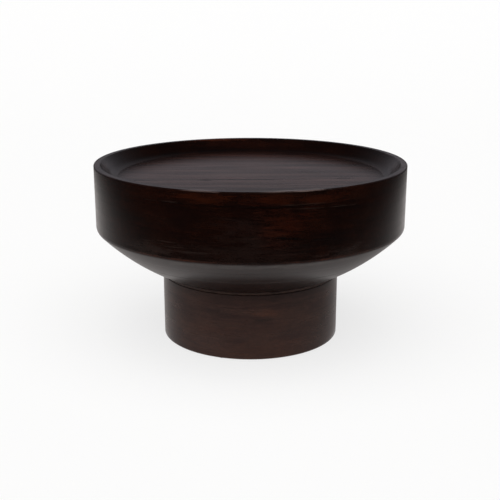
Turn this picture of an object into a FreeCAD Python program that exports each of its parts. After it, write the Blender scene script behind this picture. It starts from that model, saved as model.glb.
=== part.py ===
"""Round pedestal table in dark stained mango wood, modelled as its separate pieces, in millimetres.

The upper drum is a hollow shell of glued-up layers: a rim ring, four wall rings, three flare rings and a floor
panel, with a tabletop of edge-glued boards let into the shell. Each ring is bricklaid from equal segments. The
pedestal is a hollow stack of five rings with a plywood cap near its top, and bolts from below pull the cap and the
drum floor together. The origin is on the floor, on the table's axis, with +Z up. The boards run along X.
"""

import FreeCAD
import Part
import math
import os

Vector = FreeCAD.Vector
UP = Vector(0, 0, 1)
ORIGIN = Vector(0, 0, 0)
WIDE = 1000.0  # reaches past the table on every side, for blocks that only cut or clip

# Overall sizes
table_height = 460.0
table_radius = 400.0
pedestal_radius = 231.0

# Layers of the drum
layer_thickness = 32.5
wall_layers = 4
flare_layers = 3
floor_thickness = 30.0
drum_segments = 12
first_joint_angle = -4.0  # turn of the rings' joints about the axis, on both drum and pedestal
wall_width = 40.0
flare_wall_width = 35.0

# Outline of the drum
arris_radius = 14.0
flare_bulge = 9.8
lip_height = 6.0
groove_chamfer = 1.2

# Tray on top of the drum
rim_width = 16.0
rim_outer_rounding = 3.0
rim_inner_rounding = 2.0
slope_run = 28.0
foot_run = 16.0
foot_rise = 6.0
foot_rounding = 40.0

# Tabletop of edge-glued boards
board_thickness = 22.0
board_shares = (0.11, 0.15, 0.13, 0.16, 0.14, 0.17, 0.14)  # of the tabletop's width, from the -Y side
board_gap = 0.3
ledge_width = 20.0

# Battens under the tabletop
batten_spacing = 320.0
batten_width = 45.0
batten_thickness = 25.0
batten_end_gap = 4.0

# Pedestal
pedestal_layers = 5
pedestal_segments = 12
pedestal_wall_width = 36.0
pedestal_edge_rounding = 2.0
shoulder_width = 15.0
cap_thickness = 24.0
cap_gap = 0.3
locating_thickness = 12.0
locating_gap = 0.3

# Bolts that join drum and pedestal
bolt_count = 6
bolt_edge_distance = 50.0
bolt_radius = 4.0
bolt_head_radius = 6.5
bolt_head_height = 5.3
bolt_socket_width = 6.0
bolt_socket_depth = 3.5
bolt_hole_radius = 4.5
bolt_end_space = 1.0
washer_radius = 10.0
washer_thickness = 1.6
insert_radius = 6.0
insert_length = 18.0
thread_gap = 0.05

# Wood screws
screw_radius = 2.0
screw_head_radius = 4.0
screw_head_height = 2.2
screw_hole_radius = 2.3
screw_drive_width = 3.0
screw_drive_depth = 1.4
batten_screw_bite = 13.0
cap_screw_count = 6
cap_screw_bite = 9.0

# Glides under the pedestal
glide_count = 6
pad_thickness = 3.0
pad_radius = 11.0
nail_radius = 1.25
nail_head_radius = 4.0
nail_head_thickness = 1.0
nail_recess_depth = 1.4
nail_bite = 16.0

# Heights, worked out from the floor up
drum_height = (1 + wall_layers + flare_layers) * layer_thickness + floor_thickness
joint_z = table_height - drum_height
pedestal_layer = (joint_z - pad_thickness) / pedestal_layers
lip_top_z = joint_z + lip_height
flare_bottom_z = joint_z + floor_thickness
arris_z = flare_bottom_z + flare_layers * layer_thickness
tabletop_z = table_height - layer_thickness
panel_bottom_z = tabletop_z - board_thickness
batten_bottom_z = panel_bottom_z - batten_thickness
shoulder_z = joint_z - locating_thickness
cap_bottom_z = shoulder_z - cap_thickness

# Radii, worked out from the outside in
rim_inner_radius = table_radius - rim_width
foot_radius = rim_inner_radius - slope_run - foot_run
ledge_radius = foot_radius - ledge_width
panel_radius = foot_radius - board_gap
pedestal_inner_radius = pedestal_radius - pedestal_wall_width
shoulder_radius = pedestal_inner_radius - shoulder_width
bolt_circle_radius = shoulder_radius - bolt_edge_distance
cap_screw_circle_radius = shoulder_radius + shoulder_width / 2
glide_circle_radius = pedestal_radius - pedestal_wall_width / 2


# Plane outlines, drawn as (radius, height) in the XZ plane


def at(radius, height):
    return Vector(radius, 0, height)


def line(start, end):
    return Part.LineSegment(start, end).toShape()


def arc(start, middle, end):
    return Part.Arc(start, middle, end).toShape()


def on_circle(centre, radius, angle):
    """Point of a circle in the XZ plane, the angle counted from +X towards +Z."""
    return at(centre.x + radius * math.cos(angle), centre.z + radius * math.sin(angle))


def arc_about(centre, radius, start, end):
    """Edge on a circle in the XZ plane, the short way from one of its points to another."""
    first = math.atan2(start.z - centre.z, start.x - centre.x)
    turn = math.atan2(end.z - centre.z, end.x - centre.x) - first
    turn = (turn + math.pi) % (2 * math.pi) - math.pi
    return arc(start, on_circle(centre, radius, first + turn / 2), end)


def rounded(before, corner, after, radius):
    """Start, middle and end of the arc that rounds the corner between two straight edges."""
    back = (before - corner).normalize()
    ahead = (after - corner).normalize()
    half = back.getAngle(ahead) / 2
    reach = radius / math.tan(half)
    centre = corner + (back + ahead).normalize() * (radius / math.sin(half))
    middle = centre + (corner - centre).normalize() * radius
    return corner + back * reach, middle, corner + ahead * reach


def flare_circle():
    """Centre and radius of the gently bulging underside, an arc from the wall's foot to the lip."""
    top = at(table_radius, arris_z)
    bottom = at(pedestal_radius, lip_top_z)
    chord = bottom - top
    half = chord.Length / 2
    radius = (half * half + flare_bulge * flare_bulge) / (2 * flare_bulge)
    inward = Vector(chord.z, 0, -chord.x).normalize()
    return (top + bottom) * 0.5 + inward * (radius - flare_bulge), radius


def drum_outline():
    """Half section of the whole drum, from its axis out, with the tray recess and no hollow."""
    flare_centre, flare_radius = flare_circle()
    arris_reach = flare_radius - arris_radius
    arris_x = table_radius - arris_radius
    arris_drop = math.sqrt(arris_reach**2 - (arris_x - flare_centre.x) ** 2)
    arris_centre = at(arris_x, flare_centre.z - arris_drop)
    wall_foot = at(table_radius, arris_centre.z)
    flare_start = flare_centre + (arris_centre - flare_centre).normalize() * flare_radius

    rim_corner = at(table_radius, table_height)
    inner_corner = at(rim_inner_radius, table_height)
    knee = at(foot_radius + foot_run, tabletop_z + foot_rise)
    foot = at(foot_radius, tabletop_z)
    outer_edge = rounded(wall_foot, rim_corner, inner_corner, rim_outer_rounding)
    inner_edge = rounded(rim_corner, inner_corner, knee, rim_inner_rounding)
    foot_curve = rounded(inner_corner, knee, foot, foot_rounding)

    axis_bottom = at(0, joint_z)
    lip_bottom = at(pedestal_radius - groove_chamfer, joint_z)
    lip_side = at(pedestal_radius, joint_z + groove_chamfer)
    lip_top = at(pedestal_radius, lip_top_z)
    axis_top = at(0, tabletop_z)
    edges = [
        line(axis_bottom, lip_bottom),
        line(lip_bottom, lip_side),
        line(lip_side, lip_top),
        arc_about(flare_centre, flare_radius, lip_top, flare_start),
        arc_about(arris_centre, arris_radius, flare_start, wall_foot),
        line(wall_foot, outer_edge[0]),
        arc(*outer_edge),
        line(outer_edge[2], inner_edge[0]),
        arc(*inner_edge),
        line(inner_edge[2], foot_curve[0]),
        arc(*foot_curve),
        line(foot_curve[2], foot),
        line(foot, axis_top),
        line(axis_top, axis_bottom),
    ]
    return Part.Face(Part.Wire(edges))


def pedestal_outline():
    """Half section of the pedestal's wall, with the inward shoulder that the cap is pulled up against."""
    bottom_rounding = rounded(
        at(pedestal_inner_radius, pad_thickness),
        at(pedestal_radius, pad_thickness),
        at(pedestal_radius, joint_z),
        pedestal_edge_rounding,
    )
    top_side = at(pedestal_radius, joint_z - groove_chamfer)
    corners = [
        at(pedestal_radius - groove_chamfer, joint_z),
        at(shoulder_radius, joint_z),
        at(shoulder_radius, shoulder_z),
        at(pedestal_inner_radius, shoulder_z),
        at(pedestal_inner_radius, pad_thickness),
    ]
    path = [bottom_rounding[2], top_side, *corners, bottom_rounding[0]]
    edges = [line(start, end) for start, end in zip(path, path[1:])]
    return Part.Face(Part.Wire([arc(*bottom_rounding), *edges]))


def band(outline, inner, bottom, top, outer=WIDE):
    """The share of an outline between two radii and two heights."""
    corners = [at(inner, bottom), at(outer, bottom), at(outer, top), at(inner, top), at(inner, bottom)]
    return outline.common(Part.Face(Part.makePolygon(corners)))


# Solids


def ring(section, segments, shifted):
    """Segments that make a full ring from a section. A shifted ring starts half a segment later."""
    turn = 360.0 / segments
    start = first_joint_angle + (turn / 2 if shifted else 0.0)
    first = section.revolve(ORIGIN, UP, turn).Solids[0]
    made = []
    for index in range(segments):
        segment = first.copy()
        segment.rotate(ORIGIN, UP, start + index * turn)
        made.append(segment)
    return made


def cylinder(radius, bottom, top, x=0.0, y=0.0):
    return Part.makeCylinder(radius, top - bottom, Vector(x, y, bottom))


def cone(bottom_radius, top_radius, bottom, top, x=0.0, y=0.0):
    return Part.makeCone(bottom_radius, top_radius, top - bottom, Vector(x, y, bottom))


def prism(width, bottom, top, x=0.0, y=0.0):
    """Six-sided block, measured across its flats."""
    corner_radius = width / math.sqrt(3)
    angles = [math.radians(60 * side) for side in range(7)]
    corners = [
        Vector(x + corner_radius * math.cos(angle), y + corner_radius * math.sin(angle), bottom)
        for angle in angles
    ]
    return Part.Face(Part.makePolygon(corners)).extrude(UP * (top - bottom))


def block(x_low, x_high, y_low, y_high, bottom, top):
    return Part.makeBox(x_high - x_low, y_high - y_low, top - bottom, Vector(x_low, y_low, bottom))


def circle_places(count, radius, first_angle):
    """Centres spaced evenly on a circle."""
    angles = [math.radians(first_angle + 360.0 * index / count) for index in range(count)]
    return [(radius * math.cos(angle), radius * math.sin(angle)) for angle in angles]


def drilled(solids, holes):
    """The same solids with every hole cut from those that it meets."""
    made = []
    for solid in solids:
        met = [hole for hole in holes if solid.BoundBox.intersect(hole.BoundBox)]
        made.append(solid.cut(met).Solids[0] if met else solid)
    return made


def countersunk_screw(x, y, head_z, length):
    """Wood screw driven upwards, its head flush with a face at head_z, with a six-sided drive."""
    head = cone(screw_head_radius, screw_radius, head_z, head_z + screw_head_height, x, y)
    shank = cylinder(screw_radius, head_z, head_z + length, x, y)
    drive = prism(screw_drive_width, head_z, head_z + screw_drive_depth, x, y)
    return head.fuse(shank).cut(drive).removeSplitter().Solids[0]


def countersunk_hole(x, y, head_z, top):
    """Clearance hole for that screw through the piece that it holds."""
    spread = screw_hole_radius - screw_radius
    sink = cone(
        screw_head_radius + spread, screw_radius + spread, head_z, head_z + screw_head_height, x, y
    )
    return sink.fuse(cylinder(screw_hole_radius, head_z, top, x, y))


def pilot_hole(x, y, bottom, top):
    return cylinder(screw_radius + thread_gap, bottom, top, x, y)


# Where the fasteners stand

bolt_places = circle_places(bolt_count, bolt_circle_radius, 0.0)
mid_segment_angle = first_joint_angle + 180.0 / pedestal_segments
cap_screw_places = circle_places(cap_screw_count, cap_screw_circle_radius, mid_segment_angle)
glide_places = circle_places(glide_count, glide_circle_radius, mid_segment_angle)


def board_edges():
    """Y of each joint between tabletop boards, with the two ends of the tabletop."""
    edges = [-panel_radius]
    for share in board_shares:
        edges.append(edges[-1] + 2 * panel_radius * share / sum(board_shares))
    return edges


def batten_reach():
    """Half a batten's length, which stays inside the ledge that carries the tabletop."""
    outer_side = (batten_spacing + batten_width) / 2
    return math.sqrt(ledge_radius**2 - outer_side**2) - batten_end_gap


def batten_screw_places(x):
    """One screw in the middle of each board that the batten crosses in full."""
    edges = board_edges()
    reach = batten_reach()
    return [
        (x, (low + high) / 2)
        for low, high in zip(edges, edges[1:])
        if abs(low) < reach and abs(high) < reach
    ]


# The pieces, each a list of solids


def tabletop_boards():
    """Boards of the tabletop, cut to its circle, with pilot holes for the batten screws."""
    disc = cylinder(panel_radius, panel_bottom_z, tabletop_z)
    bite_top = panel_bottom_z + batten_screw_bite
    holes = [
        pilot_hole(x, y, panel_bottom_z, bite_top)
        for side in (-1, 1)
        for x, y in batten_screw_places(side * batten_spacing / 2)
    ]
    edges = board_edges()
    boards = []
    for low, high in zip(edges, edges[1:]):
        strip = block(-WIDE, WIDE, low, high, panel_bottom_z, tabletop_z)
        boards.append(drilled([disc.common(strip).Solids[0]], holes))
    return boards


def drum_rings():
    """The rim ring, the wall rings and the flare rings, from the top down."""
    outline = drum_outline()
    rings = {"rim_ring": ring(band(outline, 0, tabletop_z, table_height), drum_segments, False)}
    for index in range(wall_layers):
        top = tabletop_z - index * layer_thickness
        inner = ledge_radius if index == 0 else table_radius - wall_width
        section = band(outline, inner, top - layer_thickness, top)
        if index == 0:
            section = section.cut(band(outline, 0, panel_bottom_z, tabletop_z, foot_radius))
        rings[f"drum_ring_{index + 1}"] = ring(section, drum_segments, index % 2 == 0)
    for index in range(flare_layers):
        top = arris_z - index * layer_thickness
        section = band(outline, 0, top - layer_thickness, top)
        narrow_end = band(outline, 0, top - layer_thickness, top - layer_thickness + 1).BoundBox.XMax
        section = band(section, narrow_end - flare_wall_width, top - layer_thickness, top)
        rings[f"flare_ring_{index + 1}"] = ring(section, drum_segments, index % 2 == 0)
    return rings


def drum_floor():
    """Edge-glued floor of the drum. Its rim ends the flare in a short lip, and it holds the inserts."""
    disc = band(drum_outline(), 0, joint_z, flare_bottom_z).revolve(ORIGIN, UP, 360).Solids[0]
    holes = [cylinder(insert_radius, joint_z, joint_z + insert_length, x, y) for x, y in bolt_places]
    row = bolt_circle_radius * math.sin(2 * math.pi / bolt_count)  # from one row of bolts to the next
    joints = [-WIDE, -1.5 * row, -0.5 * row, 0.5 * row, 1.5 * row, WIDE]
    boards = [
        disc.common(block(-WIDE, WIDE, low, high, joint_z, flare_bottom_z)).Solids[0]
        for low, high in zip(joints, joints[1:])
    ]
    return drilled(boards, holes)


def locating_disc():
    """Plywood disc under the drum floor that centres the drum in the pedestal's mouth."""
    disc = cylinder(shoulder_radius - locating_gap, shoulder_z, joint_z)
    holes = [cylinder(bolt_hole_radius, shoulder_z, joint_z, x, y) for x, y in bolt_places]
    return drilled([disc], holes)


def pedestal_rings():
    """The pedestal's rings from the floor up, with holes for the glides' nails and the cap's screws."""
    outline = pedestal_outline()
    nail_top = pad_thickness + nail_bite
    nail_holes = [
        cylinder(nail_radius + thread_gap, pad_thickness, nail_top, x, y) for x, y in glide_places
    ]
    screw_top = shoulder_z + cap_screw_bite
    screw_holes = [pilot_hole(x, y, shoulder_z, screw_top) for x, y in cap_screw_places]
    rings = {}
    for index in range(pedestal_layers):
        bottom = pad_thickness + index * pedestal_layer
        section = band(outline, 0, bottom, bottom + pedestal_layer)
        segments = ring(section, pedestal_segments, index % 2 == 1)
        rings[f"pedestal_ring_{index + 1}"] = drilled(segments, nail_holes + screw_holes)
    return rings


def pedestal_cap():
    """Plywood disc let into the pedestal from below, up against the shoulder."""
    disc = cylinder(pedestal_inner_radius - cap_gap, cap_bottom_z, shoulder_z)
    bolt_holes = [cylinder(bolt_hole_radius, cap_bottom_z, shoulder_z, x, y) for x, y in bolt_places]
    screw_holes = [countersunk_hole(x, y, cap_bottom_z, shoulder_z) for x, y in cap_screw_places]
    return drilled([disc], bolt_holes + screw_holes)


def cap_screws():
    length = cap_thickness + cap_screw_bite
    return [countersunk_screw(x, y, cap_bottom_z, length) for x, y in cap_screw_places]


def batten(x):
    """Batten across the boards, which keeps the tabletop flat."""
    reach = batten_reach()
    half = batten_width / 2
    bar = block(x - half, x + half, -reach, reach, batten_bottom_z, panel_bottom_z)
    holes = [
        countersunk_hole(hole_x, y, batten_bottom_z, panel_bottom_z)
        for hole_x, y in batten_screw_places(x)
    ]
    return drilled([bar], holes)


def batten_screws():
    length = batten_thickness + batten_screw_bite
    return [
        countersunk_screw(x, y, batten_bottom_z, length)
        for side in (-1, 1)
        for x, y in batten_screw_places(side * batten_spacing / 2)
    ]


def joint_bolts():
    """Low-head socket bolts, from under the cap up into the drum floor's inserts."""
    head_top = cap_bottom_z - washer_thickness
    head_bottom = head_top - bolt_head_height
    shank_top = joint_z + insert_length - bolt_end_space
    bolts = []
    for x, y in bolt_places:
        head = cylinder(bolt_head_radius, head_bottom, head_top, x, y)
        socket = prism(bolt_socket_width, head_bottom, head_bottom + bolt_socket_depth, x, y)
        shank = cylinder(bolt_radius, head_top, shank_top, x, y)
        bolts.append(head.cut(socket).fuse(shank).Solids[0])
    return bolts


def bolt_washers():
    bottom = cap_bottom_z - washer_thickness
    return [
        cylinder(washer_radius, bottom, cap_bottom_z, x, y).cut(
            cylinder(bolt_hole_radius, bottom, cap_bottom_z, x, y)
        )
        for x, y in bolt_places
    ]


def threaded_inserts():
    top = joint_z + insert_length
    return [
        cylinder(insert_radius, joint_z, top, x, y).cut(
            cylinder(bolt_radius + thread_gap, joint_z, top, x, y)
        )
        for x, y in bolt_places
    ]


def glide_pads():
    """Felt pads that the table stands on, each with a recess that keeps its nail's head off the floor."""
    return [
        cylinder(pad_radius, 0, pad_thickness, x, y)
        .cut(cylinder(nail_head_radius, 0, nail_recess_depth, x, y))
        .cut(cylinder(nail_radius, 0, pad_thickness, x, y))
        for x, y in glide_places
    ]


def glide_nails():
    head_bottom = nail_recess_depth - nail_head_thickness
    nail_top = pad_thickness + nail_bite
    nails = []
    for x, y in glide_places:
        head = cylinder(nail_head_radius - thread_gap, head_bottom, nail_recess_depth, x, y)
        shank = cylinder(nail_radius, nail_recess_depth, nail_top, x, y)
        nails.append(head.fuse(shank).Solids[0])
    return nails


def main():
    pieces = {f"top_board_{index + 1}": board for index, board in enumerate(tabletop_boards())}
    pieces.update(drum_rings())
    pieces["drum_floor"] = drum_floor()
    pieces["locating_disc"] = locating_disc()
    pieces["batten_left"] = batten(-batten_spacing / 2)
    pieces["batten_right"] = batten(batten_spacing / 2)
    pieces["batten_screws"] = batten_screws()
    pieces.update(pedestal_rings())
    pieces["pedestal_cap"] = pedestal_cap()
    pieces["cap_screws"] = cap_screws()
    pieces["joint_bolts"] = joint_bolts()
    pieces["bolt_washers"] = bolt_washers()
    pieces["threaded_inserts"] = threaded_inserts()
    pieces["glide_pads"] = glide_pads()
    pieces["glide_nails"] = glide_nails()

    os.makedirs("parts", exist_ok=True)
    for name, solids in pieces.items():
        Part.Compound(solids).exportStep(f"parts/{name}.step")
    print(len(pieces), "nodes,", sum(len(solids) for solids in pieces.values()), "solids")


main()
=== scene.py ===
import math

import bmesh
import bpy
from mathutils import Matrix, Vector


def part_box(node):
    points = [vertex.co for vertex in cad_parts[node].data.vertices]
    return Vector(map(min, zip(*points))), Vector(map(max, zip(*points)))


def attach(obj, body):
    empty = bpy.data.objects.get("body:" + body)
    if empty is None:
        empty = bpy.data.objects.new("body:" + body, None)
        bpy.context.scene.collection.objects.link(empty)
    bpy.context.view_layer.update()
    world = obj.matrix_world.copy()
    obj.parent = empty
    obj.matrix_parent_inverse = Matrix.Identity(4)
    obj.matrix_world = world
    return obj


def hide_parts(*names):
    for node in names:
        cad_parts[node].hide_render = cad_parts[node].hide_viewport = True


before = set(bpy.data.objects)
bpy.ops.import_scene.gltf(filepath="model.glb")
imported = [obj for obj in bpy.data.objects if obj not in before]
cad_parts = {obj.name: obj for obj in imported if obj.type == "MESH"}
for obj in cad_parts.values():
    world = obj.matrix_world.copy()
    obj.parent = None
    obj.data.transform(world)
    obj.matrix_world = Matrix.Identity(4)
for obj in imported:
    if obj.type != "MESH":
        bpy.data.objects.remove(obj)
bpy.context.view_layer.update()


# ---------------------------------------------------------------------------------------------------------
# Pedestal rings
# Five rings of solid mango wood, each glued up from twelve planks laid like bricks, then turned on a lathe,
# stained espresso brown and sprayed with semi-gloss lacquer. The inside stays bare.
# ---------------------------------------------------------------------------------------------------------

mm = 0.001
RING_PLANKS = 12
PLANK_STEPS = 24  # straight steps in which each plank of a ring goes round
TURNED_SIDES = RING_PLANKS * PLANK_STEPS
FIRST_JOINT = math.radians(-4.0)
EASING = 0.1 * mm  # glued edges are eased by this much, so that the joints show as fine lines
SHARP_ANGLE = math.radians(35)
SAP_STREAK = 0.005  # a mark whose linear red is below this is a dark streak
MARK_RAGGED = 3.6  # how far noise moves the edge of a mark, in half sizes of the mark
MARK_FADED = 1.5  # where a mark has faded out, in half sizes of the mark
BARE_MARGIN = 1 * mm  # a ring counts as bare up to this far from its inside

pedestal_radius = 231 * mm
pedestal_inner = 195 * mm
pedestal_shoulder = 180 * mm
shoulder_drop = 12 * mm
pedestal_rounding = 2.0 * mm
rubbed_edge = 1.2 * pedestal_rounding
rubbed_out = 3 * pedestal_rounding
groove_chamfer = 1.2 * mm


def linear(hex_colour):
    """Linear RGBA of an sRGB hex colour such as #3a2418."""
    shares = [int(hex_colour[start : start + 2], 16) / 255 for start in (1, 3, 5)]
    return [c / 12.92 if c <= 0.04045 else ((c + 0.055) / 1.055) ** 2.4 for c in shares] + [1.0]


def add(tree, kind, inputs=None, **settings):
    """Adds a node. Its settings are properties, and its inputs are values or other nodes' outputs. Map
    Range takes a value as 0, its range as 1 and 2, and the range that it goes to as 3 and 4. Mix takes its
    factor as 0, and the two colours as 6 and 7."""
    made = tree.nodes.new(kind)
    for name, value in settings.items():
        setattr(made, name, value)
    for name, value in (inputs or {}).items():
        if isinstance(value, bpy.types.NodeSocket):
            tree.links.new(value, made.inputs[name])
        else:
            made.inputs[name].default_value = value
    return made


def new_material(name):
    """A material with an empty node tree."""
    material = bpy.data.materials.new(name)
    material.use_nodes = True
    material.node_tree.nodes.clear()
    return material, material.node_tree


def grain(tree, place, across, along, thick, detail, distortion=0.0):
    """Noise drawn out along a plank. The sizes are those of one feature, in millimetres."""
    stretch = (1 / (across * mm), 1 / (along * mm), 1 / (thick * mm))
    drawn = add(tree, "ShaderNodeVectorMath", {0: place, 1: stretch}, operation="MULTIPLY").outputs[0]
    noise = {"Vector": drawn, "Scale": 1.0, "Detail": detail, "Distortion": distortion}
    return add(tree, "ShaderNodeTexNoise", noise).outputs["Fac"]


def coated(tree, ground, coats):
    """A ground colour under coats of other colours. Each coat has the share that it covers."""
    colour = linear(ground)
    for share, coat in coats:
        mix = add(tree, "ShaderNodeMix", {0: share, 6: colour, 7: linear(coat)}, data_type="RGBA")
        colour = mix.outputs[2]
    return colour


def fibrous(tree, colour, fibres, dark, light):
    """A colour whose value follows the fibres, from a dark share to a light one."""
    value = add(tree, "ShaderNodeMapRange", {0: fibres, 1: 0.3, 2: 0.7, 3: dark, 4: light}).outputs[0]
    return add(tree, "ShaderNodeHueSaturation", {"Value": value, "Color": colour}).outputs[0]


def surface(tree, colour, rough, relief, strength, depth, others=None):
    """Ends a material: colour, roughness, the bump's relief, strength and depth, and other inputs."""
    bump = add(tree, "ShaderNodeBump", {"Strength": strength, "Distance": depth, "Height": relief})
    inputs = {"Base Color": colour, "Roughness": rough, "Normal": bump.outputs[0]}
    shader = add(tree, "ShaderNodeBsdfPrincipled", inputs | (others or {}))
    add(tree, "ShaderNodeOutputMaterial", {"Surface": shader.outputs[0]})


def mark_mask(tree, spot, mark, broken):
    """Mask of one long blurred mark. Its middle, half sizes and rise are in millimetres."""
    across, up, half_width, half_height, rise = mark
    middle = (across * mm, up * mm, 0)
    slant = -rise / (2 * half_width)
    shrunk = (1 / (half_width * mm), 1 / (half_height * mm), 0)
    moved = add(tree, "ShaderNodeVectorMath", {0: spot, 1: middle}, operation="SUBTRACT").outputs[0]
    parts = add(tree, "ShaderNodeSeparateXYZ", {0: moved}).outputs
    level = {0: parts["X"], 1: slant, 2: parts["Y"]}
    level = add(tree, "ShaderNodeMath", level, operation="MULTIPLY_ADD").outputs[0]
    straight = add(tree, "ShaderNodeCombineXYZ", {"X": parts["X"], "Y": level}).outputs[0]
    sized = add(tree, "ShaderNodeVectorMath", {0: straight, 1: shrunk}, operation="MULTIPLY").outputs[0]
    reach = add(tree, "ShaderNodeVectorMath", {0: sized}, operation="LENGTH").outputs["Value"]
    uneven = {0: broken, 1: -MARK_RAGGED, 2: MARK_RAGGED / 2}
    uneven = add(tree, "ShaderNodeMath", uneven, operation="MULTIPLY_ADD").outputs[0]
    reach = add(tree, "ShaderNodeMath", {0: reach, 1: uneven}, operation="ADD").outputs[0]
    fade = {0: reach, 1: 0.0, 2: MARK_FADED, 3: 1.0, 4: 0.0}
    return add(tree, "ShaderNodeMapRange", fade, interpolation_type="SMOOTHSTEP").outputs[0]


def stained_mango(
    name, deep, brown, warm, warm_share, gloss, rough, contrast, marks, radius=None, figure_size=(30, 240, 13)
):
    """Mango wood under dark stain and lacquer. The stain sinks deeper into pores and soft streaks, so they
    are darker, and thin spots and rubbed edges show the wood's own red. Where the outline's third value is
    below 0, shade is painted. The lacquer is smooth but follows the fibres a little. Marks lie on a wall of
    the given radius, or on a level top where there is none."""
    material, tree = new_material(name)
    place = add(tree, "ShaderNodeAttribute", attribute_name="plank_place").outputs["Vector"]
    plank = add(tree, "ShaderNodeAttribute", attribute_name="plank").outputs["Fac"]
    wear_and_shade = add(tree, "ShaderNodeAttribute", attribute_name="wear_and_shade").outputs["Fac"]
    table_place = add(tree, "ShaderNodeTexCoord").outputs["Object"]

    # every plank comes from another part of a tree, up to 3 m away
    luck = add(tree, "ShaderNodeTexWhiteNoise", {"W": plank}, noise_dimensions="1D").outputs
    shift = add(tree, "ShaderNodeVectorMath", {0: luck["Color"], 1: (3, 3, 3)}, operation="MULTIPLY")
    cut = add(tree, "ShaderNodeVectorMath", {0: place, 1: shift.outputs[0]}, operation="ADD").outputs[0]

    figure = grain(tree, cut, *figure_size, detail=4, distortion=0.8)
    streaks = grain(tree, cut, 5, 120, 3.4, detail=3)
    fibres = grain(tree, cut, 1.4, 30, 1.1, detail=2)
    # pores are 0.2 mm wide on the real wood and drawn three times as coarse, so that they show
    pores = grain(tree, cut, 0.9, 9, 0.7, detail=1)
    blotches = grain(tree, table_place, 90, 90, 45, detail=3)

    # the figure goes from the deep colour to the brown, rubbed edges turn warm, and painted shade darkens
    # corners, creases, grooves and the pedestal's top under the drum, where the attribute is below 0
    turning = {0: figure, 1: 0.36, 2: 0.64}
    browned = add(tree, "ShaderNodeMapRange", turning, interpolation_type="SMOOTHSTEP").outputs[0]
    warmed = add(tree, "ShaderNodeMapRange", {0: blotches, 1: 0.47, 2: 0.66, 4: warm_share}).outputs[0]
    tone_shift = add(tree, "ShaderNodeMapRange", {0: wear_and_shade, 1: 0.0, 2: 1.0}).outputs[0]
    painted_shade = add(tree, "ShaderNodeMapRange", {0: wear_and_shade, 1: 0.0, 2: -1.0}).outputs[0]
    coats = [(browned, brown), (warmed, warm), (tone_shift, warm), (painted_shade, "#050303")]

    # planks differ in tone, and streaks, fibres and pores are darker
    plank_swing = 0.14 * contrast
    streak_swing = 0.16 * contrast
    fibre_swing = 0.25
    pore_value = 0.45
    tones = (
        {0: luck["Value"], 3: 1 - plank_swing, 4: 1 + plank_swing},
        {0: streaks, 1: 0.34, 2: 0.66, 3: 1 - streak_swing, 4: 1 + streak_swing},
        {0: fibres, 1: 0.3, 2: 0.7, 3: 1 - fibre_swing, 4: 1 + fibre_swing},
        {0: pores, 1: 0.3, 2: 0.42, 3: pore_value, 4: 1.0},
    )
    value, *finer_tones = [add(tree, "ShaderNodeMapRange", tone).outputs[0] for tone in tones]
    for tone in finer_tones:
        value = add(tree, "ShaderNodeMath", {0: value, 1: tone}, operation="MULTIPLY").outputs[0]

    # a wall is unrolled, so that its marks lie by their place round it and their height
    spot = table_place
    if radius:
        sides = add(tree, "ShaderNodeSeparateXYZ", {0: table_place}).outputs
        ahead = add(tree, "ShaderNodeMath", {0: sides["Y"], 1: -1.0}, operation="MULTIPLY").outputs[0]
        angle = add(tree, "ShaderNodeMath", {0: sides["X"], 1: ahead}, operation="ARCTAN2").outputs[0]
        girth = add(tree, "ShaderNodeMath", {0: angle, 1: radius}, operation="MULTIPLY").outputs[0]
        spot = add(tree, "ShaderNodeCombineXYZ", {"X": girth, "Y": sides["Z"]}).outputs[0]
    broken = grain(tree, cut, 9, 45, 7, detail=4)
    streaked = []
    for mark_colour, strength, *mark in marks:
        mask = mark_mask(tree, spot, mark, broken)
        share = add(tree, "ShaderNodeMath", {0: mask, 1: strength}, operation="MULTIPLY").outputs[0]
        coats.append((share, mark_colour))
        if linear(mark_colour)[0] < SAP_STREAK:
            streaked.append(share)
    colour = coated(tree, deep, coats)
    colour = add(tree, "ShaderNodeHueSaturation", {"Value": value, "Color": colour}).outputs["Color"]

    # the lacquer is rougher over the dark figure, in corners and over dark streaks
    rough_swing = 0.1 * contrast
    corner_rougher = 1.06
    streak_rougher = 1.25
    satin = turning | {3: (1 + rough_swing) * rough, 4: (1 - rough_swing) * rough}
    satin = add(tree, "ShaderNodeMapRange", satin).outputs[0]
    for share, rougher in [(painted_shade, corner_rougher)] + [(share, streak_rougher) for share in streaked]:
        matt = add(tree, "ShaderNodeMapRange", {0: share, 3: 1.0, 4: rougher}).outputs[0]
        satin = add(tree, "ShaderNodeMath", {0: satin, 1: matt}, operation="MULTIPLY").outputs[0]

    # open pores sink deepest, and the fibres stand up a little on the streaks
    pore_tone = finer_tones[-1]
    raised = add(tree, "ShaderNodeMath", {0: fibres, 1: 0.4, 2: streaks}, operation="MULTIPLY_ADD").outputs[0]
    relief = add(tree, "ShaderNodeMath", {0: pore_tone, 1: raised}, operation="ADD").outputs[0]
    surface(tree, colour, satin, relief, 0.4, 0.01 * mm, {"Specular IOR Level": gloss})
    return material


def grained(tree, place, pale, brown, figure_size, fibre_size, wave):
    """Colour of bare wood, whose figure turns from pale to brown, and its fibres."""
    figure = grain(tree, place, *figure_size, detail=4, distortion=wave)
    fibres = grain(tree, place, *fibre_size, detail=2)
    return coated(tree, pale, [(figure, brown)]), fibres


def named_inputs(tree, *kinds):
    """Gives a geometry tree its named inputs and its one output, and returns the inputs' sockets."""
    for name, kind in kinds:
        tree.interface.new_socket(name, in_out="INPUT", socket_type="NodeSocket" + kind)
    tree.interface.new_socket("Made", in_out="OUTPUT", socket_type="NodeSocketGeometry")
    return add(tree, "NodeGroupInput").outputs


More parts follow.
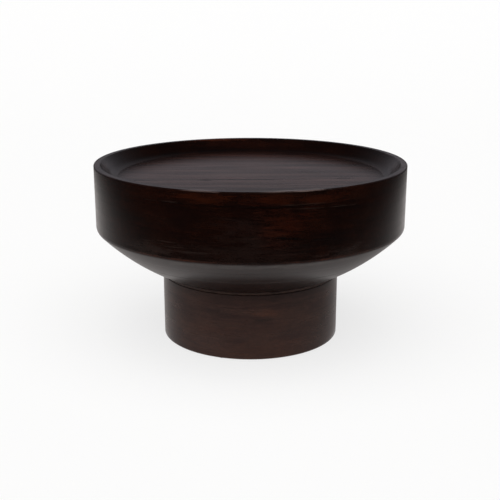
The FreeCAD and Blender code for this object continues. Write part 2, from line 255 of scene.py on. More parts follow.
def bricklaid_ring():
    """Geometry nodes that turn a section, a flat face in the XZ plane, into a ring of planks."""
    tree = bpy.data.node_groups.new("bricklaid_ring", "GeometryNodeTree")
    given = named_inputs(
        tree,
        ("Section", "Geometry"),
        ("Planks", "Int"),
        ("Steps", "Int"),
        ("First Joint", "Float"),
        ("Ring Number", "Int"),
        ("Bare Radius", "Float"),
        ("Finish", "Material"),
        ("Bare Wood", "Material"),
    )
    turn = add(tree, "ShaderNodeMath", {0: math.tau, 1: given["Planks"]}, operation="DIVIDE").outputs[0]
    step = add(tree, "ShaderNodeMath", {0: turn, 1: given["Steps"]}, operation="DIVIDE").outputs[0]
    half_back = add(tree, "ShaderNodeMath", {0: turn, 1: -0.5}, operation="MULTIPLY").outputs[0]
    tilt = add(tree, "ShaderNodeCombineXYZ", {"Z": half_back}).outputs[0]
    start = add(tree, "GeometryNodeTransform", {"Geometry": given["Section"], "Rotation": tilt}).outputs[0]

    # one plank: the section is drawn out in steps round the axis, and a flipped copy closes its start
    zone_in = tree.nodes.new("GeometryNodeRepeatInput")
    zone_out = tree.nodes.new("GeometryNodeRepeatOutput")
    zone_in.pair_with_output(zone_out)
    zone_out.repeat_items.new("BOOLEAN", "Front")
    tree.links.new(given["Steps"], zone_in.inputs["Iterations"])
    tree.links.new(start, zone_in.inputs["Geometry"])
    zone_in.inputs["Front"].default_value = True
    drawn = add(
        tree,
        "GeometryNodeExtrudeMesh",
        {
            "Mesh": zone_in.outputs["Geometry"],
            "Selection": zone_in.outputs["Front"],
            "Offset Scale": 0.0,
            "Individual": False,
        },
    ).outputs
    spot = add(tree, "GeometryNodeInputPosition").outputs[0]
    turned = add(
        tree, "ShaderNodeVectorRotate", {"Vector": spot, "Angle": step}, rotation_type="Z_AXIS"
    ).outputs[0]
    moved = add(
        tree,
        "GeometryNodeSetPosition",
        {"Geometry": drawn["Mesh"], "Selection": drawn["Top"], "Position": turned},
    ).outputs[0]
    tree.links.new(moved, zone_out.inputs["Geometry"])
    tree.links.new(drawn["Top"], zone_out.inputs["Front"])
    cap = add(tree, "GeometryNodeFlipFaces", {"Mesh": start}).outputs[0]
    joined = add(tree, "GeometryNodeJoinGeometry")
    tree.links.new(cap, joined.inputs[0])
    tree.links.new(zone_out.outputs["Geometry"], joined.inputs[0])
    weld = 0.001 * mm
    closed = add(tree, "GeometryNodeMergeByDistance", {"Geometry": joined.outputs[0], "Distance": weld})
    placed = add(
        tree,
        "GeometryNodeStoreNamedAttribute",
        {"Geometry": closed.outputs[0], "Name": "plank_place", "Value": spot},
        data_type="FLOAT_VECTOR",
        domain="POINT",
    ).outputs[0]

    # the planks, each turned to its place and numbered
    number = add(tree, "GeometryNodeInputIndex").outputs[0]
    middle = add(tree, "ShaderNodeMath", {0: number, 1: 0.5}, operation="ADD").outputs[0]
    angle = {0: middle, 1: turn, 2: given["First Joint"]}
    angle = add(tree, "ShaderNodeMath", angle, operation="MULTIPLY_ADD").outputs[0]
    points = add(tree, "GeometryNodePoints", {"Count": given["Planks"]}).outputs[0]
    swing = add(tree, "ShaderNodeCombineXYZ", {"Z": angle}).outputs[0]
    planks = add(
        tree, "GeometryNodeInstanceOnPoints", {"Points": points, "Instance": placed, "Rotation": swing}
    ).outputs[0]
    label = {0: given["Ring Number"], 1: given["Planks"], 2: number}
    label = add(tree, "ShaderNodeMath", label, operation="MULTIPLY_ADD").outputs[0]
    labelled = add(
        tree,
        "GeometryNodeStoreNamedAttribute",
        {"Geometry": planks, "Name": "plank", "Value": label},
        data_type="FLOAT",
        domain="INSTANCE",
    ).outputs[0]
    real = add(tree, "GeometryNodeRealizeInstances", {"Geometry": labelled}).outputs[0]

    # the inside of the ring stays bare
    parts = add(tree, "ShaderNodeSeparateXYZ", {0: spot}).outputs
    flat = add(tree, "ShaderNodeCombineXYZ", {"X": parts["X"], "Y": parts["Y"]}).outputs[0]
    radius = add(tree, "ShaderNodeVectorMath", {0: flat}, operation="LENGTH").outputs["Value"]
    inside = {0: radius, 1: given["Bare Radius"]}
    inside = add(tree, "ShaderNodeMath", inside, operation="LESS_THAN").outputs[0]
    finished = add(
        tree, "GeometryNodeSetMaterial", {"Geometry": real, "Material": given["Finish"]}
    ).outputs[0]
    both = add(
        tree,
        "GeometryNodeSetMaterial",
        {"Geometry": finished, "Selection": inside, "Material": given["Bare Wood"]},
    ).outputs[0]
    add(tree, "NodeGroupOutput", {0: both})
    return tree


def grown(name, source, tree, values):
    """Runs a geometry tree on a mesh with the given inputs, and returns the plain object that it makes."""
    seed = bpy.data.objects.new(name + "_source", source)
    bpy.context.scene.collection.objects.link(seed)
    modifier = seed.modifiers.new(name, "NODES")
    modifier.node_group = tree
    for item in tree.interface.items_tree:
        if item.in_out == "INPUT" and item.name in values:
            modifier[item.identifier] = values[item.name]
    bpy.context.view_layer.update()
    depsgraph = bpy.context.evaluated_depsgraph_get()
    mesh = bpy.data.meshes.new_from_object(
        seed.evaluated_get(depsgraph), preserve_all_data_layers=True, depsgraph=depsgraph
    )
    seed.modifiers.clear()
    bpy.data.objects.remove(seed)
    return shown(name, mesh)


def shown(name, mesh):
    """An object for a mesh, smooth but for its sharp edges."""
    mesh.shade_smooth()
    mesh.set_sharp_from_angle(angle=SHARP_ANGLE)
    piece = bpy.data.objects.new(name, mesh)
    bpy.context.scene.collection.objects.link(piece)
    return piece


def stands_for(piece, node):
    """Hides the CAD node behind its detailed piece, and attaches the piece to the root body."""
    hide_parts(node)
    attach(piece, "root")


def section(name, outline):
    """A flat face in the XZ plane from points of radius, height and a third value, which go up the outside
    first. The third value is 1 where the finish is rubbed thin, 0 where it is whole and -1 where shade is
    painted darkest."""
    mesh = bpy.data.meshes.new(name)
    mesh.from_pydata([(r, 0, z) for r, z, tone_shift in outline], [], [range(len(outline))[::-1]])
    wear_and_shade = mesh.attributes.new("wear_and_shade", "FLOAT", "POINT")
    wear_and_shade.data.foreach_set("value", [point[2] for point in outline])
    return mesh


def arc(centre, radius, start, end, steps, tone_shift=0.0):
    """Points round part of a circle, the angles in degrees from outwards to up."""
    angles = [math.radians(start + (end - start) * step / steps) for step in range(steps + 1)]
    return [
        (centre[0] + radius * math.cos(angle), centre[1] + radius * math.sin(angle), tone_shift)
        for angle in angles
    ]


ring_tree = bricklaid_ring()

# planed mango with no finish: straw to light brown, matt, with darker fibres
bare_wood, bare_tree = new_material("bare_mango")
bare_place = add(bare_tree, "ShaderNodeAttribute", attribute_name="plank_place").outputs["Vector"]
bare_colour, bare_fibres = grained(
    bare_tree, bare_place, "#b58a5c", "#8a5f38", figure_size=(22, 200, 12), fibre_size=(1.6, 30, 1.3),
    wave=0.5,
)
bare_colour = fibrous(bare_tree, bare_colour, bare_fibres, 0.75, 1.1)
surface(bare_tree, bare_colour, 0.75, bare_fibres, 0.5, 0.2 * mm)

# warm thin spots, dark sap streaks, pale filled pores and painted light low on the front: colour, strength,
# girth, height, half sizes, rise
pedestal_stains_and_painted_light = [
    ("#4a2a1c", 0.5, 48, 123, 36, 9, 2),
    ("#0e0807", 0.5, 28, 106, 26, 5, 1),
    ("#0b0706", 0.4, 152, 146, 50, 6, 14),
    ("#1c1311", 0.2, -95, 122, 80, 12, 0),
    ("#40251a", 0.45, -34, 96, 36, 4, 3),
    ("#40251a", 0.4, -30, 84, 30, 3, -5),
    ("#1c1311", 0.3, -68, 60, 18, 12, 0),
    ("#1c1311", 0.3, 96, 72, 24, 16, 0),
    ("#3e241a", 0.4, -110, 76, 70, 14, -8),
    ("#44281a", 0.5, -22, 14, 26, 6, 0),
    ("#493631", 0.4, -112, 34, 56, 26, 0),
    ("#201614", 0.3, 200, 66, 60, 60, 0),
    # the next mark is painted light: the lower front is lighter, where the drum casts less shade
    ("#3c2218", 0.45, 0, 26, 200, 30, 0),
]
pedestal_stain = stained_mango(
    "stained_mango_pedestal", "#2b1814", "#35211b", "#41291f", warm_share=0.35, gloss=0.205, rough=0.28,
    contrast=0.25, marks=pedestal_stains_and_painted_light, radius=pedestal_radius,
)


def brick_ring(node, outline, number, shifted, finish, bare_radius=0.0):
    """A ring of planks that stands for a CAD ring. A shifted ring's joints lie over whole planks, and its
    number gives it planks of its own: 4 is the rim, 5 to 8 the wall, 10 to 12 the flare, 20 to 24 the
    pedestal."""
    values = {
        "Planks": RING_PLANKS,
        "Steps": PLANK_STEPS,
        "First Joint": FIRST_JOINT + (math.pi / RING_PLANKS if shifted else 0.0),
        "Ring Number": number,
        "Bare Radius": bare_radius,
        "Finish": finish,
        "Bare Wood": bare_wood,
    }
    piece = grown(node + "_wood", section(node, outline), ring_tree, values)
    stands_for(piece, node)


for index in range(5):
    node = f"pedestal_ring_{index + 1}"
    low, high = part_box(node)[0].z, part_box(node)[1].z
    outline = [(pedestal_inner, low, 0)]
    if index == 0:
        # the foot's edge is rounded, and rubbed a little past its rounding
        centre = (pedestal_radius - pedestal_rounding, low + pedestal_rounding)
        outline += [(pedestal_radius - rubbed_edge, low, 0.7)]
        outline += arc(centre, pedestal_rounding, -90, 0, 6, 0.7)
        outline += [(pedestal_radius, low + rubbed_edge, 0.6), (pedestal_radius, low + rubbed_out, 0)]
    else:
        outline += [(pedestal_radius - EASING, low, 0.1), (pedestal_radius, low + EASING, 0)]
    if index == 4:
        # painted shade darkens the top towards the groove, under the drum, and a narrower mouth takes the
        # locating disc
        for chamfers, painted_shade in ((24, 0), (4, -0.3), (1, -0.5)):
            outline.append((pedestal_radius, high - chamfers * groove_chamfer, painted_shade))
        outline += [
            (pedestal_radius - groove_chamfer, high, -0.8),
            (pedestal_shoulder, high, 0),
            (pedestal_shoulder, high - shoulder_drop, 0),
            (pedestal_inner, high - shoulder_drop, 0),
        ]
    else:
        outline += [
            (pedestal_radius, high - EASING, 0),
            (pedestal_radius - EASING, high, 0.1),
            (pedestal_inner, high, 0),
        ]
    brick_ring(node, outline, 20 + index, index % 2 == 1, pedestal_stain, pedestal_inner + BARE_MARGIN)


# ---------------------------------------------------------------------------------------------------------
# Drum floor
# Five edge-glued mango boards, turned to a disc whose edge is the lowest part of the flaring underside. It
# ends in a 6 mm lip with a fine chamfer, which makes a V-groove with the pedestal's own.
# ---------------------------------------------------------------------------------------------------------

table_radius = 400 * mm
arris_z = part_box("flare_ring_1")[1].z
joint_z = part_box("drum_floor")[0].z
lip_height = 6 * mm
lip_top_z = joint_z + lip_height
arris_radius = 14 * mm
flare_bulge = 9.8 * mm

# the flare is an arc that bulges from the chord between the wall's foot and the lip, and the arris
# rounds the corner between wall and flare
chord = Vector((pedestal_radius - table_radius, lip_top_z - arris_z))
flare_radius = ((chord.length / 2) ** 2 + flare_bulge**2) / (2 * flare_bulge)
inward = Vector((chord.y, -chord.x)).normalized()
flare_centre = Vector((table_radius, arris_z)) + chord / 2 + inward * (flare_radius - flare_bulge)
arris_middle = table_radius - arris_radius
arris_drop = math.sqrt((flare_radius - arris_radius) ** 2 - (arris_middle - flare_centre.x) ** 2)
arris_centre = Vector((arris_middle, flare_centre.y - arris_drop))
flare_start = flare_centre + (arris_centre - flare_centre).normalized() * flare_radius


def drum_side(z):
    """Radius of the drum's outside at a height."""
    if z >= arris_centre.y:
        return table_radius
    if z > flare_start.y:
        return arris_centre.x + math.sqrt(arris_radius**2 - (z - arris_centre.y) ** 2)
    if z > lip_top_z:
        return flare_centre.x + math.sqrt(flare_radius**2 - (z - flare_centre.y) ** 2)
    return pedestal_radius


def drum_side_points(low, high, steps, high_easing=EASING):
    """The outside of a drum ring from its lower edge to its upper one, with both edges eased. There are
    close levels where the rounded arris begins and ends."""
    run = high - low - EASING - high_easing
    levels = [low + EASING + run * step / steps for step in range(steps + 1)]
    near = 0.3 * mm
    margin = 1 * mm
    for bend in (flare_start.y, arris_centre.y):
        levels += [z for z in (bend - near, bend, bend + near) if low + margin < z < high - margin]
    points = [(drum_side(low) - EASING, low, 0.1)]
    points += [(drum_side(z), z, 0.0) for z in sorted(levels)]
    points.append((drum_side(high) - high_easing, high, 0.1))
    return points


def turned_shape(outline, turns):
    """A shape turned from points of radius, height and a third value for rubbed finish and painted shade. It
    is a closed solid where they start and end on the axis, and else a sheet."""
    made = bmesh.new()
    wear_and_shade = made.verts.layers.float.new("wear_and_shade")
    rings = []
    for r, z, tone_shift in outline:
        count = 1 if r == 0 else turns
        ring = []
        for turn in range(count):
            angle = math.tau * turn / turns
            vert = made.verts.new((r * math.cos(angle), r * math.sin(angle), z))
            vert[wear_and_shade] = tone_shift
            ring.append(vert)
        rings.append(ring)
    for below, above in zip(rings, rings[1:]):
        for turn in range(turns):
            after = (turn + 1) % turns
            if len(below) == 1:
                made.faces.new((below[0], above[after], above[turn]))
            elif len(above) == 1:
                made.faces.new((below[turn], below[after], above[0]))
            else:
                made.faces.new((below[turn], below[after], above[after], above[turn]))
    return made


def sawn(solid, joints, gap, first_number=0):
    """Boards sawn from a solid at the given Y, with their numbers and grain along X stored on them."""
    boards = bmesh.new()
    place = boards.verts.layers.float_vector.new("plank_place")
    board = boards.verts.layers.float.new("plank")
    boards.verts.layers.float.new("wear_and_shade")
    for number, (low, high) in enumerate(zip(joints, joints[1:]), first_number):
        part = solid.copy()
        for y, side in ((low + gap / 2, -1), (high - gap / 2, 1)):
            everything = part.verts[:] + part.edges[:] + part.faces[:]
            cut = bmesh.ops.bisect_plane(
                part, geom=everything, plane_co=(0, y, 0), plane_no=(0, side, 0), clear_outer=True
            )
            edges = [item for item in cut["geom_cut"] if isinstance(item, bmesh.types.BMEdge)]
            if edges:
                bmesh.ops.edgeloop_fill(part, edges=edges)
        bmesh.ops.recalc_face_normals(part, faces=part.faces[:])
        mesh = bpy.data.meshes.new("board")
        part.to_mesh(mesh)
        part.free()
        first = len(boards.verts)
        boards.from_mesh(mesh)
        bpy.data.meshes.remove(mesh)
        boards.verts.ensure_lookup_table()
        for vert in boards.verts[first:]:
            vert[place] = (vert.co.y, vert.co.x, vert.co.z)
            vert[board] = number
    return boards


def piece_of(name, shape, material):
    """An object of one material for a turned or sawn shape."""
    mesh = bpy.data.meshes.new(name)
    shape.to_mesh(mesh)
    mesh.materials.append(material)
    return shown(name, mesh)


# spots of thin stain at the top, dark streaks, painted sheen and painted glints across the wall, and red
# lines at its foot
wall_stains_and_painted_light = [
    ("#240b03", 0.5, -210, 443, 60, 12, 0),
    ("#3a1402", 0.45, -105, 444, 56, 13, 0),
    ("#300f02", 0.5, 40, 443, 60, 12, 0),
    ("#2c0e03", 0.6, 160, 440, 60, 12, 0),
    ("#030202", 0.6, 10, 427, 250, 2.0, -2),
    # the next mark is painted sheen
    ("#1e1311", 0.4, -15, 384, 60, 22, 0),
    ("#300f04", 0.45, 84, 392, 60, 26, -4),
    ("#1e0b05", 0.4, -215, 386, 60, 22, 0),
    # the next four marks are painted sheen
    ("#1e1411", 0.5, -20, 322, 150, 22, 0),
    ("#1e1512", 0.4, 0, 352, 60, 14, 0),
    ("#2c2421", 0.4, -250, 314, 60, 16, 0),
    ("#2c2421", 0.35, 235, 312, 50, 12, 0),
    ("#32140a", 0.45, 45, 363, 26, 9, 0),
    ("#240c06", 0.4, 58, 341, 30, 9, -2),
    ("#020101", 0.95, 92, 354, 58, 2.8, -12),
    ("#050303", 0.4, 270, 396, 50, 24, 0),
    ("#050303", 0.3, -150, 400, 60, 20, 0),
    ("#050303", 0.3, 180, 345, 90, 20, 0),
    # the next seven marks are painted glints: thin light streaks on the lacquer
    ("#2e2622", 0.4, -186, 430.5, 24, 1.4, 1),
    ("#2e2622", 0.4, 118, 430, 50, 1.3, 0),
    ("#2e2622", 0.35, 128, 420, 40, 1.3, -2),
    ("#2e2622", 0.45, 214, 418, 40, 1.4, -2),
    ("#2e2622", 0.45, -190, 338, 26, 1.6, 1),
    ("#2e2622", 0.45, -178, 328, 36, 1.5, 1),
    ("#2e2622", 0.45, -122, 320, 56, 1.6, 2),
    ("#3a1a0c", 0.6, -190, 299, 130, 3, 0),
    ("#3a1a0c", 0.6, 230, 299, 120, 3, 0),
]
wall_stain = stained_mango(
    "stained_mango_wall", "#0e0402", "#150603", "#1f0a03", warm_share=0.4, gloss=0.14, rough=0.23,
    contrast=0.8, marks=wall_stains_and_painted_light, radius=table_radius,
)
# a pale band round the top of the lip and the turns just above it is a painted highlight, and a pale
# band on the front just under the arris is a painted reflection of the floor
flare_painted_light = [("#3a2922", 0.75, 0, 173.6, 5000, 3.6, 0), ("#4a4644", 0.35, 0, 289, 170, 6, 0)]
flare_stain = stained_mango(
    "stained_mango_flare", "#180c0a", "#1a0d0a", "#1d0e0a", warm_share=0.3, gloss=0.18, rough=0.28,
    contrast=0.1, marks=flare_painted_light, radius=pedestal_radius,
)

# the floor's joints run midway between the rows of bolts, and a hair's gap keeps its boards apart
bolt_circle_radius = 130 * mm
bolt_row = bolt_circle_radius * math.sin(math.pi / 3)
beyond = 1.0
floor_joints = [-beyond] + [bolt_row * row for row in (-1.5, -0.5, 0.5, 1.5)] + [beyond]
floor_gap = 0.02 * mm
floor_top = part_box("drum_floor")[1].z
floor_steps = 15
# painted shade darkens the lip's underside at the groove
floor_outline = [(0, joint_z, 0), (pedestal_radius - groove_chamfer, joint_z, -0.9)]
floor_outline += [(pedestal_radius, joint_z + groove_chamfer, 0.6), (pedestal_radius, lip_top_z, 0.0)]
for step in range(1, floor_steps + 1):
    z = lip_top_z + (floor_top - EASING - lip_top_z) * step / floor_steps
    floor_outline.append((drum_side(z), z, 0.0))
floor_outline += [(drum_side(floor_top) - EASING, floor_top, 0.1), (0, floor_top, 0)]
floor_boards = sawn(turned_shape(floor_outline, TURNED_SIDES), floor_joints, floor_gap)
stands_for(piece_of("drum_floor_boards", floor_boards, flare_stain), "drum_floor")


# ---------------------------------------------------------------------------------------------------------
# Flare rings and wall rings
# Seven rings of twelve mango planks each, glued up one over another, then turned and sanded as one. Every
# second ring is turned by half a plank.
# ---------------------------------------------------------------------------------------------------------

flare_wall = 35 * mm
wall_inner = 360 * mm
ledge_radius = 320 * mm
foot_radius = 340 * mm
panel_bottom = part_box("top_board_1")[0].z

# the uppermost flare ring runs into the rounded arris, which ends on the lowest wall ring, so both are
# turned in more steps
for index in range(3):
    node = f"flare_ring_{index + 1}"
    low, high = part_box(node)[0].z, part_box(node)[1].z
    inner = drum_side(low) - flare_wall
    steps, high_easing = (26, 0.0) if index == 0 else (14, EASING)
    outline = [(inner, low, 0)] + drum_side_points(low, high, steps, high_easing)
    outline += [(inner, high, 0)]
    brick_ring(node, outline, 10 + index, index % 2 == 0, flare_stain)

for index in range(4):
    node = f"drum_ring_{index + 1}"
    low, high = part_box(node)[0].z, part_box(node)[1].z
    inner = ledge_radius if index == 0 else wall_inner
    steps = 8 if index == 3 else 1
    outline = [(inner, low, 0)] + drum_side_points(low, high, steps)
    if index == 0:
        outline += [(foot_radius, high, 0), (foot_radius, panel_bottom, 0), (inner, panel_bottom, 0)]
    else:
        outline += [(inner, high, 0)]
    brick_ring(node, outline, 5 + index, index % 2 == 0, wall_stain, inner + BARE_MARGIN)


# ---------------------------------------------------------------------------------------------------------
# Tabletop
# Seven edge-glued mango boards cut to a disc, which lies on a ledge of the first wall ring. Stained and
# lacquered as the rest.
# ---------------------------------------------------------------------------------------------------------

panel_radius = 339.7 * mm
TOP_PLANKS = 200  # the tabletop's planks are numbered from 201, clear of the rings' own
top_joints = [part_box(f"top_board_{number}")[0].y for number in range(1, 8)]
top_joints.append(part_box("top_board_7")[1].y)
tabletop_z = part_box("top_board_1")[1].z

# dark streaks and knots, and pale spots where the stain is rubbed thin
tray_marks = [
    ("#0d0807", 0.8, 233, -71, 24, 12, 2),
    ("#0d0807", 1.0, -20, -93, 150, 10, 2),
    ("#0d0807", 0.8, -110, -102, 12, 10, 0),
    ("#0d0807", 0.6, 154, 11, 30, 9, 0),
    ("#0d0807", 0.35, 40, -150, 120, 4, -2),
    ("#0d0807", 0.4, 0, -240, 420, 90, 0),
    ("#543430", 0.5, 120, 69, 26, 13, 0),
    ("#38302d", 0.15, -60, 12, 70, 40, 0),
    ("#4a3833", 0.35, -50, -42, 90, 30, 0),
    ("#52302a", 0.5, -55, -74, 110, 7, 1),
]
tray_stain = stained_mango(
    "stained_mango_tray", "#180e0c", "#3a221c", "#381f18", warm_share=0.25, gloss=0.13, rough=0.24,
    contrast=1.2, marks=tray_marks, figure_size=(17, 380, 13),
)

# painted shade darkens the tabletop towards the rim, in the crease
disc_outline = [
    (0, panel_bottom, 0),
    (panel_radius - EASING, panel_bottom, 0),
    (panel_radius, panel_bottom + EASING, 0),
    (panel_radius, tabletop_z - EASING, 0),
    (panel_radius - EASING, tabletop_z, -0.85),
    (320 * mm, tabletop_z, -0.5),
    (290 * mm, tabletop_z, -0.15),
    (270 * mm, tabletop_z, 0),
    (0, tabletop_z, 0),
]
disc = turned_shape(disc_outline, TURNED_SIDES)
for number in range(1, 8):
    node = f"top_board_{number}"
    board = sawn(disc, top_joints[number - 1 : number + 1], 0.0, TOP_PLANKS + number)
    stands_for(piece_of(node + "_wood", board, tray_stain), node)


# ---------------------------------------------------------------------------------------------------------
# Rim ring
# The top ring of mango planks, whose inside is turned to a slope that runs out on the tabletop in a small
# cove. Its outer edge is rounded by 3 mm and its inner one by 2 mm. Painted shade darkens the inner edge,
# the slope and the cove.
# ---------------------------------------------------------------------------------------------------------

rim_low, rim_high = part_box("rim_ring")[0].z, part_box("rim_ring")[1].z
rim_inner = 384 * mm
outer_rounding = 3 * mm
inner_rounding = 2 * mm
knee = Vector((356 * mm, tabletop_z + 6 * mm))
knee_rounding = 40 * mm
cove_steps = 24
flat_start = 1.1 * outer_rounding


def rounded(before, corner, after, radius, steps, tone_shift=0.0):
    """Points on the arc that rounds a corner of an outline."""
    back = (Vector(before) - Vector(corner)).normalized()
    ahead = (Vector(after) - Vector(corner)).normalized()
    half = back.angle(ahead) / 2
    centre = Vector(corner) + (back + ahead).normalized() * (radius / math.sin(half))
    start = Vector(corner) + back * (radius / math.tan(half)) - centre
    turn = start.angle_signed(Vector(corner) + ahead * (radius / math.tan(half)) - centre)
    points = []
    for step in range(steps + 1):
        angle = math.atan2(start.y, start.x) - turn * step / steps
        points.append((centre.x + radius * math.cos(angle), centre.y + radius * math.sin(angle), tone_shift))
    return points


# the back of the rim has its own thin spots, and the rim has painted sheen at its ends and painted glints on
# its front edge
rim_stains_and_painted_light = wall_stains_and_painted_light + [
    ("#4a2010", 0.6, -1150, 459, 90, 4, 0),
    ("#2a0e05", 0.3, -1257, 446, 150, 12, 0),
    ("#2a0e05", 0.3, 1257, 446, 150, 12, 0),
    # painted sheen on the rim's top at its left and right ends
    ("#4c4444", 0.65, 640, 462, 170, 3, 0),
    ("#4c4444", 0.1, -620, 462, 150, 3, 0),
    # painted glints on the rim's front edge
    ("#6a5b57", 0.75, -108, 459.1, 34, 1.3, 0),
    ("#6a5b57", 0.75, 112, 459.1, 66, 1.3, 0),
    # painted sheen at the ends of the inner slope
    ("#3c302d", 0.4, -570, 448, 70, 9, 0),
    ("#3c302d", 0.4, 570, 448, 70, 9, 0),
]
rim_stain = stained_mango(
    "stained_mango_rim", "#0e0402", "#150603", "#1f0a03", warm_share=0.5, gloss=0.15, rough=0.24,
    contrast=0.8, marks=rim_stains_and_painted_light, radius=table_radius,
)
outline = [(foot_radius, rim_low, 0)]
outline += [(table_radius - EASING, rim_low, 0.1), (table_radius, rim_low + EASING, 0)]
outline += [(table_radius, rim_high - flat_start, 0)]
outline += arc((table_radius - outer_rounding, rim_high - outer_rounding), outer_rounding, 0, 90, 12)
outline += [(table_radius - flat_start, rim_high, 0)]
# painted shade: the inner edge, the flat top just beside it, the slope and the cove are darkened
edge = rounded((table_radius, rim_high), (rim_inner, rim_high), knee, inner_rounding, 10, -0.8)
cove = rounded((rim_inner, rim_high), knee, (foot_radius, rim_low), knee_rounding, cove_steps)
edge_start = edge[0][0]
outline += [(edge_start + 5 * mm, rim_high, 0), (edge_start + 0.2 * mm, rim_high, -0.7)] + edge
slope_top, slope_foot = Vector(edge[-1][:2]), Vector(cove[0][:2])
outline += [(*slope_top.lerp(slope_foot, share), -0.4) for share in (0.02, 0.1, 0.5, 0.97)]
outline += [(r, z, -0.4 - 0.3 * step / cove_steps) for step, (r, z, tone_shift) in enumerate(cove)]
brick_ring("rim_ring", outline, 4, False, rim_stain)


# ---------------------------------------------------------------------------------------------------------
# Plywood: locating disc and pedestal cap
# Birch plywood, which centres the drum in the pedestal and carries the bolts. Its faces show a pale veneer
# with a soft wavy figure, and its edges show thin plies, light and dark by turns.
# ---------------------------------------------------------------------------------------------------------

ply_thickness = 1.5 * mm
plywood, ply_tree = new_material("birch_plywood")
ply_place = add(ply_tree, "ShaderNodeTexCoord").outputs["Object"]
ply_face, ply_fibres = grained(
    ply_tree, ply_place, "#d2b48a", "#b89263", figure_size=(40, 170, 8), fibre_size=(1.2, 26, 1.2),
    wave=0.6,
)
ply_normal = add(ply_tree, "ShaderNodeNewGeometry").outputs["Normal"]
ply_up = add(ply_tree, "ShaderNodeSeparateXYZ", {0: ply_normal}).outputs["Z"]
ply_up = add(ply_tree, "ShaderNodeMath", {0: ply_up}, operation="ABSOLUTE").outputs[0]
ply_share = add(ply_tree, "ShaderNodeMapRange", {0: ply_up, 1: 0.3, 2: 0.7}).outputs[0]
ply_level = add(ply_tree, "ShaderNodeSeparateXYZ", {0: ply_place}).outputs["Z"]
ply_count = add(ply_tree, "ShaderNodeMath", {0: ply_level, 1: ply_thickness}, operation="DIVIDE").outputs[0]
ply_turn = add(ply_tree, "ShaderNodeMath", {0: ply_count, 1: 1.0}, operation="PINGPONG").outputs[0]
ply_turn = add(ply_tree, "ShaderNodeMapRange", {0: ply_turn, 1: 0.4, 2: 0.6}).outputs[0]
ply_edge = coated(ply_tree, "#c9a777", [(ply_turn, "#8f6a40")])
ply_mix = add(ply_tree, "ShaderNodeMix", {0: ply_share, 6: ply_edge, 7: ply_face}, data_type="RGBA")
ply_colour = fibrous(ply_tree, ply_mix.outputs[2], ply_fibres, 0.84, 1.06)
surface(ply_tree, ply_colour, 0.7, ply_fibres, 0.4, 0.1 * mm)


def finished(node, material):
    """Gives a CAD node's own shape a better finish."""
    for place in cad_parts[node].material_slots:
        place.material = material


for node in ("locating_disc", "pedestal_cap"):
    finished(node, plywood)


# ---------------------------------------------------------------------------------------------------------
# Battens
# Two planed strips of plain hardwood with no finish, screwed across the tabletop's underside to hold its
# boards flat.
# ---------------------------------------------------------------------------------------------------------

# planed hardwood is matt and straw to light brown, with darker fibres along the strip
batten_wood, batten_tree = new_material("planed_batten")
batten_place = add(batten_tree, "ShaderNodeTexCoord").outputs["Object"]
batten_colour, batten_fibres = grained(
    batten_tree, batten_place, "#b98f62", "#94693f", figure_size=(16, 220, 14), fibre_size=(1.2, 26, 1.2),
    wave=0.6,
)
batten_colour = fibrous(batten_tree, batten_colour, batten_fibres, 0.74, 1.08)
surface(batten_tree, batten_colour, 0.75, batten_fibres, 0.5, 0.2 * mm)
for node in ("batten_left", "batten_right"):
    finished(node, batten_wood)


# ---------------------------------------------------------------------------------------------------------
# Screws, washers, inserts, bolts and nails
# Zinc-plated steel, dull silver with cloudy patches, and black oxide steel for the socket bolts. The cap and
# batten screws are countersunk, and the bolts come up through the cap into the drum floor.
# ---------------------------------------------------------------------------------------------------------


def plated_steel(name, light, dark, rough_low, rough_high):
    """Steel with a cloudy coat, smoother where it is lighter, and tumbling scratches, which are finer than
    0.3 mm on real screws and drawn as coarse as that so that they show."""
    material, tree = new_material(name)
    place = add(tree, "ShaderNodeTexCoord").outputs["Object"]
    clouds = grain(tree, place, 3.5, 3.5, 3.5, detail=4)
    scratches = grain(tree, place, 0.3, 2.5, 0.3, detail=2)
    patches = add(tree, "ShaderNodeMapRange", {0: clouds, 1: 0.35, 2: 0.65}).outputs[0]
    colour = coated(tree, light, [(patches, dark)])
    rough = {0: clouds, 1: 0.3, 2: 0.7, 3: rough_low, 4: rough_high}
    rough = add(tree, "ShaderNodeMapRange", rough).outputs[0]
    surface(tree, colour, rough, scratches, 0.3, 0.02 * mm, {"Metallic": 1.0})
    return material


zinc = plated_steel("zinc_plated_steel", "#c3c6c6", "#9a9c98", 0.28, 0.45)
black_oxide = plated_steel("black_oxide_steel", "#3a3a3c", "#232325", 0.35, 0.5)
for node in ("batten_screws", "cap_screws", "bolt_washers", "threaded_inserts", "glide_nails"):
    finished(node, zinc)
finished("joint_bolts", black_oxide)


# ---------------------------------------------------------------------------------------------------------
# Felt pads
# Six discs of pressed grey-brown wool felt, nailed under the pedestal. Felt is matt, a little fuzzy at the
# edge of the light, and flecked with lighter and darker fibres.
# ---------------------------------------------------------------------------------------------------------

felt, felt_tree = new_material("pressed_felt")
felt_place = add(felt_tree, "ShaderNodeTexCoord").outputs["Object"]
